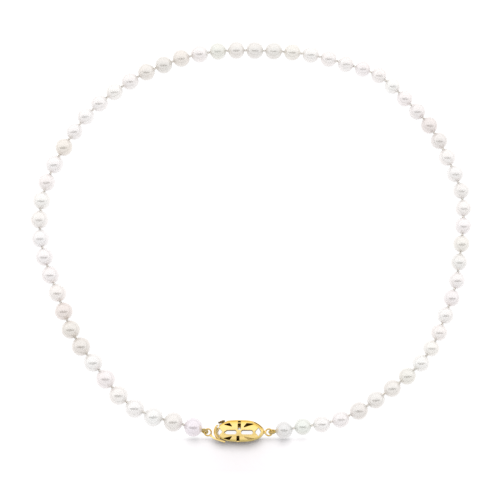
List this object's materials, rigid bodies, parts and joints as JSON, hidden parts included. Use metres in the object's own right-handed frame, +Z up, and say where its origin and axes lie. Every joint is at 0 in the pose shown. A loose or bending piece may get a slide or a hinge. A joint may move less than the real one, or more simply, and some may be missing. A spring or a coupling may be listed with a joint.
{
  "type": "pearl necklace",
  "caption": "Knotted pearl strand with a pierced gold box clasp, lying closed: the strand bends at its knots, the front lifts, and the clasp's sprung tongue pulls out.",
  "frame": {"origin": "middle of the closed necklace's box, on the table that it lies on", "axes": "+X to the right of the clasp as it lies at the front, +Y from the clasp to the back pearls, +Z up from the table"},
  "size_m": [0.1532, 0.1424, 0.0065],
  "materials": {
    "pearl": "soft pearly lustre over white nacre",
    "gold": "polished yellow gold",
    "gimp": "coiled gilt wire over silk",
    "silk": "twisted ivory silk thread"
  },
  "bodies": {
    "back_pair": {"back_pearls_32_33": "pearl"},
    "pearls_30_31": {"pearls_30_31": "pearl"},
    "pearls_28_29": {"pearls_28_29": "pearl"},
    "pearls_26_27": {"pearls_26_27": "pearl"},
    "pearls_24_25": {"pearls_24_25": "pearl"},
    "pearls_22_23": {"pearls_22_23": "pearl"},
    "pearls_20_21": {"pearls_20_21": "pearl"},
    "pearls_18_19": {"pearls_18_19": "pearl"},
    "pearls_16_17": {"pearls_16_17": "pearl"},
    "pearls_14_15": {"pearls_14_15": "pearl"},
    "pearls_12_13": {"pearls_12_13": "pearl"},
    "pearls_10_11": {"pearls_10_11": "pearl"},
    "pearl_09": {"pearl_09": "pearl"},
    "pearl_08": {"pearl_08": "pearl"},
    "pearl_07": {"pearl_07": "pearl"},
    "pearl_06": {"pearl_06": "pearl"},
    "pearl_05": {"pearl_05": "pearl"},
    "pearl_04": {"pearl_04": "pearl"},
    "pearl_03": {"pearl_03": "pearl"},
    "pearl_02": {"pearl_02": "pearl"},
    "pearl_01": {"pearl_01": "pearl", "left_gimp_loop": "gimp"},
    "pearls_34_35": {"pearls_34_35": "pearl"},
    "pearls_36_37": {"pearls_36_37": "pearl"},
    "pearls_38_39": {"pearls_38_39": "pearl"},
    "pearls_40_41": {"pearls_40_41": "pearl"},
    "pearls_42_43": {"pearls_42_43": "pearl"},
    "pearls_44_45": {"pearls_44_45": "pearl"},
    "pearls_46_47": {"pearls_46_47": "pearl"},
    "pearls_48_49": {"pearls_48_49": "pearl"},
    "pearls_50_51": {"pearls_50_51": "pearl"},
    "pearls_52_53": {"pearls_52_53": "pearl"},
    "pearls_54_55": {"pearls_54_55": "pearl"},
    "pearl_56": {"pearl_56": "pearl"},
    "pearl_57": {"pearl_57": "pearl"},
    "pearl_58": {"pearl_58": "pearl"},
    "pearl_59": {"pearl_59": "pearl"},
    "pearl_60": {"pearl_60": "pearl"},
    "pearl_61": {"pearl_61": "pearl"},
    "pearl_62": {"pearl_62": "pearl"},
    "pearl_63": {"pearl_63": "pearl"},
    "pearl_64": {"pearl_64": "pearl", "right_gimp_loop": "gimp"},
    "tongue": {"tongue_ring": "gold", "tongue_strap": "gold", "tongue_lower_leaf": "gold"},
    "spring_leaf": {"tongue_spring_leaf": "gold", "thumb_tab": "gold"},
    "clasp_body": {"clasp_upper_shell": "gold", "clasp_lower_shell": "gold", "clasp_rim": "gold", "clasp_end_ring": "gold"}
  },
  "joints": [
    {"name": "left_open", "type": "hinge", "parent": "back_pair", "child": "pearls_30_31", "pos_m": [0.00468, 0.06798, 0.00297], "axis": [0, 0, -1], "range_deg": [0, 8.05]},
    {"name": "left_knot_29_30", "type": "hinge", "parent": "pearls_30_31", "child": "pearls_28_29", "pos_m": [-0.00877, 0.06796, 0.00299], "axis": [0, 0, -1], "range_deg": [0, 6.38]},
    {"name": "left_knot_27_28", "type": "hinge", "parent": "pearls_28_29", "child": "pearls_26_27", "pos_m": [-0.02201, 0.06587, 0.00302], "axis": [0, 0, -1], "range_deg": [0, 4.01]},
    {"name": "left_knot_25_26", "type": "hinge", "parent": "pearls_26_27", "child": "pearls_24_25", "pos_m": [-0.03461, 0.06114, 0.00299], "axis": [0, 0, -1], "range_deg": [0, 1.9]},
    {"name": "left_knot_23_24", "type": "hinge", "parent": "pearls_24_25", "child": "pearls_22_23", "pos_m": [-0.04623, 0.05423, 0.00289], "axis": [0, 0, -1], "range_deg": [0, 0.633]},
    {"name": "left_knot_21_22", "type": "hinge", "parent": "pearls_22_23", "child": "pearls_20_21", "pos_m": [-0.05657, 0.04545, 0.00284], "axis": [0, 0, -1], "range_deg": [0, 0.504]},
    {"name": "left_knot_19_20", "type": "hinge", "parent": "pearls_20_21", "child": "pearls_18_19", "pos_m": [-0.06443, 0.03445, 0.00285], "axis": [0, 0, -1], "range_deg": [0, 0.504]},
    {"name": "left_knot_17_18", "type": "hinge", "parent": "pearls_18_19", "child": "pearls_16_17", "pos_m": [-0.07051, 0.02179, 0.00293], "axis": [0, 0, -1], "range_deg": [0, 0.504]},
    {"name": "left_knot_15_16", "type": "hinge", "parent": "pearls_16_17", "child": "pearls_14_15", "pos_m": [-0.07336, 0.00847, 0.00299], "axis": [0, 0, -1], "range_deg": [0, 0.504]},
    {"name": "left_knot_13_14", "type": "hinge", "parent": "pearls_14_15", "child": "pearls_12_13", "pos_m": [-0.07211, -0.00498, 0.00297], "axis": [0, 0, -1], "range_deg": [0, 0.504]},
    {"name": "left_knot_11_12", "type": "hinge", "parent": "pearls_12_13", "child": "pearls_10_11", "pos_m": [-0.0676, -0.01765, 0.003], "axis": [0, 0, -1], "range_deg": [0, 0.504]},
    {"name": "left_knot_09_10", "type": "hinge", "parent": "pearls_10_11", "child": "pearl_09", "pos_m": [-0.06252, -0.03028, 0.00308], "axis": [0, 0, -1], "range_deg": [0, 0.504]},
    {"name": "left_knot_08_09", "type": "hinge", "parent": "pearl_09", "child": "pearl_08", "pos_m": [-0.05934, -0.0363, 0.00314], "axis": [0, 0, -1], "range_deg": [0, 0.504]},
    {"name": "left_knot_06_07", "type": "hinge", "parent": "pearl_07", "child": "pearl_06", "pos_m": [-0.05104, -0.0473, 0.00316], "axis": [0, 0, -1], "range_deg": [0, 0.504]},
    {"name": "left_knot_05_06", "type": "hinge", "parent": "pearl_06", "child": "pearl_05", "pos_m": [-0.04657, -0.05282, 0.00317], "axis": [0, 0, -1], "range_deg": [0, 0.505]},
    {"name": "left_knot_04_05", "type": "hinge", "parent": "pearl_05", "child": "pearl_04", "pos_m": [-0.04158, -0.05767, 0.00316], "axis": [0, 0, -1], "range_deg": [0, 0.584]},
    {"name": "left_knot_03_04", "type": "hinge", "parent": "pearl_04", "child": "pearl_03", "pos_m": [-0.03568, -0.06121, 0.00319], "axis": [0, 0, -1], "range_deg": [0, 0.755]},
    {"name": "left_knot_02_03", "type": "hinge", "parent": "pearl_03", "child": "pearl_02", "pos_m": [-0.02925, -0.06343, 0.00322], "axis": [0, 0, -1], "range_deg": [0, 0.718]},
    {"name": "left_knot_01_02", "type": "hinge", "parent": "pearl_02", "child": "pearl_01", "pos_m": [-0.02259, -0.06513, 0.00316], "axis": [0, 0, -1], "range_deg": [0, 0.571]},
    {"name": "tongue_swivel", "type": "hinge", "parent": "pearl_01", "child": "tongue", "pos_m": [-0.01547, -0.0673, 0.0027], "axis": [0, 0, 1], "range_deg": [0, 28.55]},
    {"name": "right_open", "type": "hinge", "parent": "back_pair", "child": "pearls_34_35", "pos_m": [0.01817, 0.06697, 0.00287], "axis": [0, 0, 1], "range_deg": [0, 13.26]},
    {"name": "right_knot_35_36", "type": "hinge", "parent": "pearls_34_35", "child": "pearls_36_37", "pos_m": [0.03101, 0.06393, 0.0028], "axis": [0, 0, 1], "range_deg": [0, 7.97]},
    {"name": "right_knot_37_38", "type": "hinge", "parent": "pearls_36_37", "child": "pearls_38_39", "pos_m": [0.04299, 0.05982, 0.00276], "axis": [0, 0, 1], "range_deg": [0, 3.4]},
    {"name": "right_knot_39_40", "type": "hinge", "parent": "pearls_38_39", "child": "pearls_40_41", "pos_m": [0.05268, 0.05216, 0.00276], "axis": [0, 0, 1], "range_deg": [0, 1.05]},
    {"name": "right_knot_41_42", "type": "hinge", "parent": "pearls_40_41", "child": "pearls_42_43", "pos_m": [0.06112, 0.04224, 0.00283], "axis": [0, 0, 1], "range_deg": [0, 0.505]},
    {"name": "right_knot_43_44", "type": "hinge", "parent": "pearls_42_43", "child": "pearls_44_45", "pos_m": [0.06771, 0.03079, 0.00285], "axis": [0, 0, -1], "range_deg": [0, 0.504]},
    {"name": "right_knot_45_46", "type": "hinge", "parent": "pearls_44_45", "child": "pearls_46_47", "pos_m": [0.07248, 0.01853, 0.00279], "axis": [0, 0, -1], "range_deg": [0, 0.504]},
    {"name": "right_knot_47_48", "type": "hinge", "parent": "pearls_46_47", "child": "pearls_48_49", "pos_m": [0.07366, 0.00602, 0.00276], "axis": [0, 0, -1], "range_deg": [0, 0.503]},
    {"name": "right_knot_49_50", "type": "hinge", "parent": "pearls_48_49", "child": "pearls_50_51", "pos_m": [0.07203, -0.0068, 0.00274], "axis": [0, 0, -1], "range_deg": [0, 0.503]},
    {"name": "right_knot_51_52", "type": "hinge", "parent": "pearls_50_51", "child": "pearls_52_53", "pos_m": [0.06941, -0.01949, 0.00272], "axis": [0, 0, -1], "range_deg": [0, 0.503]},
    {"name": "right_knot_53_54", "type": "hinge", "parent": "pearls_52_53", "child": "pearls_54_55", "pos_m": [0.06475, -0.03147, 0.00276], "axis": [0, 0, -1], "range_deg": [0, 0.503]},
    {"name": "right_knot_56_57", "type": "hinge", "parent": "pearl_56", "child": "pearl_57", "pos_m": [0.05468, -0.04691, 0.00281], "axis": [0, 0, -1], "range_deg": [0, 0.504]},
    {"name": "right_knot_57_58", "type": "hinge", "parent": "pearl_57", "child": "pearl_58", "pos_m": [0.04971, -0.05112, 0.00278], "axis": [0, 0, -1], "range_deg": [0, 0.504]},
    {"name": "right_knot_58_59", "type": "hinge", "parent": "pearl_58", "child": "pearl_59", "pos_m": [0.04432, -0.0551, 0.00277], "axis": [0, 0, -1], "range_deg": [0, 0.505]},
    {"name": "right_knot_59_60", "type": "hinge", "parent": "pearl_59", "child": "pearl_60", "pos_m": [0.03869, -0.0588, 0.00281], "axis": [0, 0, -1], "range_deg": [0, 0.647]},
    {"name": "right_knot_60_61", "type": "hinge", "parent": "pearl_60", "child": "pearl_61", "pos_m": [0.03263, -0.06206, 0.0028], "axis": [0, 0, -1], "range_deg": [0, 1.25]},
    {"name": "right_knot_61_62", "type": "hinge", "parent": "pearl_61", "child": "pearl_62", "pos_m": [0.02646, -0.0642, 0.00274], "axis": [0, 0, -1], "range_deg": [0, 1.76]},
    {"name": "right_knot_62_63", "type": "hinge", "parent": "pearl_62", "child": "pearl_63", "pos_m": [0.02014, -0.06537, 0.00275], "axis": [0, 0, -1], "range_deg": [0, 1.9]},
    {"name": "right_knot_63_64", "type": "hinge", "parent": "pearl_63", "child": "pearl_64", "pos_m": [0.01393, -0.06633, 0.0028], "axis": [0, 0, -1], "range_deg": [0, 1.82]},
    {"name": "clasp_swivel", "type": "hinge", "parent": "pearl_64", "child": "clasp_body", "pos_m": [0.00685, -0.06749, 0.0027], "axis": [0, 0, -1], "range_deg": [0, 14.34]},
    {"name": "front_lift", "type": "hinge", "parent": "pearls_54_55", "child": "pearl_56", "pos_m": [0.05892, -0.04205, 0.00296], "axis": [-1, 0, 0], "range_deg": [0, 35]},
    {"name": "front_lift_left", "type": "hinge", "parent": "pearl_08", "child": "pearl_07", "pos_m": [-0.05531, -0.04205, 0.00296], "axis": [-1, 0, 0], "range_deg": [0, 35.01]},
    {"name": "thumb_press", "type": "hinge", "parent": "tongue", "child": "spring_leaf", "pos_m": [0.00104, -0.06671, 0.0027], "axis": [0, 0, 1], "range_deg": [0, 4.5], "stiffness_Nm_per_rad": 0.02}
  ],
  "couplings": [
    {"joint": "left_knot_29_30", "follows": "left_open", "ratio": 0.79149},
    {"joint": "left_knot_27_28", "follows": "left_open", "ratio": 0.49768},
    {"joint": "left_knot_25_26", "follows": "left_open", "ratio": 0.23473},
    {"joint": "left_knot_23_24", "follows": "left_open", "ratio": 0.077993},
    {"joint": "left_knot_21_22", "follows": "left_open", "ratio": 0.062033},
    {"joint": "left_knot_19_20", "follows": "left_open", "ratio": 0.061989},
    {"joint": "left_knot_17_18", "follows": "left_open", "ratio": 0.061961},
    {"joint": "left_knot_15_16", "follows": "left_open", "ratio": 0.061944},
    {"joint": "left_knot_13_14", "follows": "left_open", "ratio": 0.061934},
    {"joint": "left_knot_11_12", "follows": "left_open", "ratio": 0.061933},
    {"joint": "left_knot_09_10", "follows": "left_open", "ratio": 0.061961},
    {"joint": "left_knot_08_09", "follows": "left_open", "ratio": 0.061984},
    {"joint": "left_knot_06_07", "follows": "left_open", "ratio": 0.062035},
    {"joint": "left_knot_05_06", "follows": "left_open", "ratio": 0.062076},
    {"joint": "left_knot_04_05", "follows": "left_open", "ratio": 0.071951},
    {"joint": "left_knot_03_04", "follows": "left_open", "ratio": 0.093178},
    {"joint": "left_knot_02_03", "follows": "left_open", "ratio": 0.088592},
    {"joint": "left_knot_01_02", "follows": "left_open", "ratio": 0.070326},
    {"joint": "tongue_swivel", "follows": "left_open", "ratio": 3.5457},
    {"joint": "right_knot_35_36", "follows": "right_open", "ratio": 0.60096},
    {"joint": "right_knot_37_38", "follows": "right_open", "ratio": 0.25643},
    {"joint": "right_knot_39_40", "follows": "right_open", "ratio": 0.078723},
    {"joint": "right_knot_41_42", "follows": "right_open", "ratio": 0.03768},
    {"joint": "right_knot_43_44", "follows": "right_open", "ratio": 0.037617},
    {"joint": "right_knot_45_46", "follows": "right_open", "ratio": 0.037597},
    {"joint": "right_knot_47_48", "follows": "right_open", "ratio": 0.037566},
    {"joint": "right_knot_49_50", "follows": "right_open", "ratio": 0.037554},
    {"joint": "right_knot_51_52", "follows": "right_open", "ratio": 0.037563},
    {"joint": "right_knot_53_54", "follows": "right_open", "ratio": 0.037588},
    {"joint": "right_knot_56_57", "follows": "right_open", "ratio": 0.037638},
    {"joint": "right_knot_57_58", "follows": "right_open", "ratio": 0.037654},
    {"joint": "right_knot_58_59", "follows": "right_open", "ratio": 0.037678},
    {"joint": "right_knot_59_60", "follows": "right_open", "ratio": 0.04843},
    {"joint": "right_knot_60_61", "follows": "right_open", "ratio": 0.093905},
    {"joint": "right_knot_61_62", "follows": "right_open", "ratio": 0.13247},
    {"joint": "right_knot_62_63", "follows": "right_open", "ratio": 0.14291},
    {"joint": "right_knot_63_64", "follows": "right_open", "ratio": 0.13679},
    {"joint": "clasp_swivel", "follows": "right_open", "ratio": 1.081},
    {"joint": "front_lift_left", "follows": "front_lift", "ratio": 1}
  ]
}
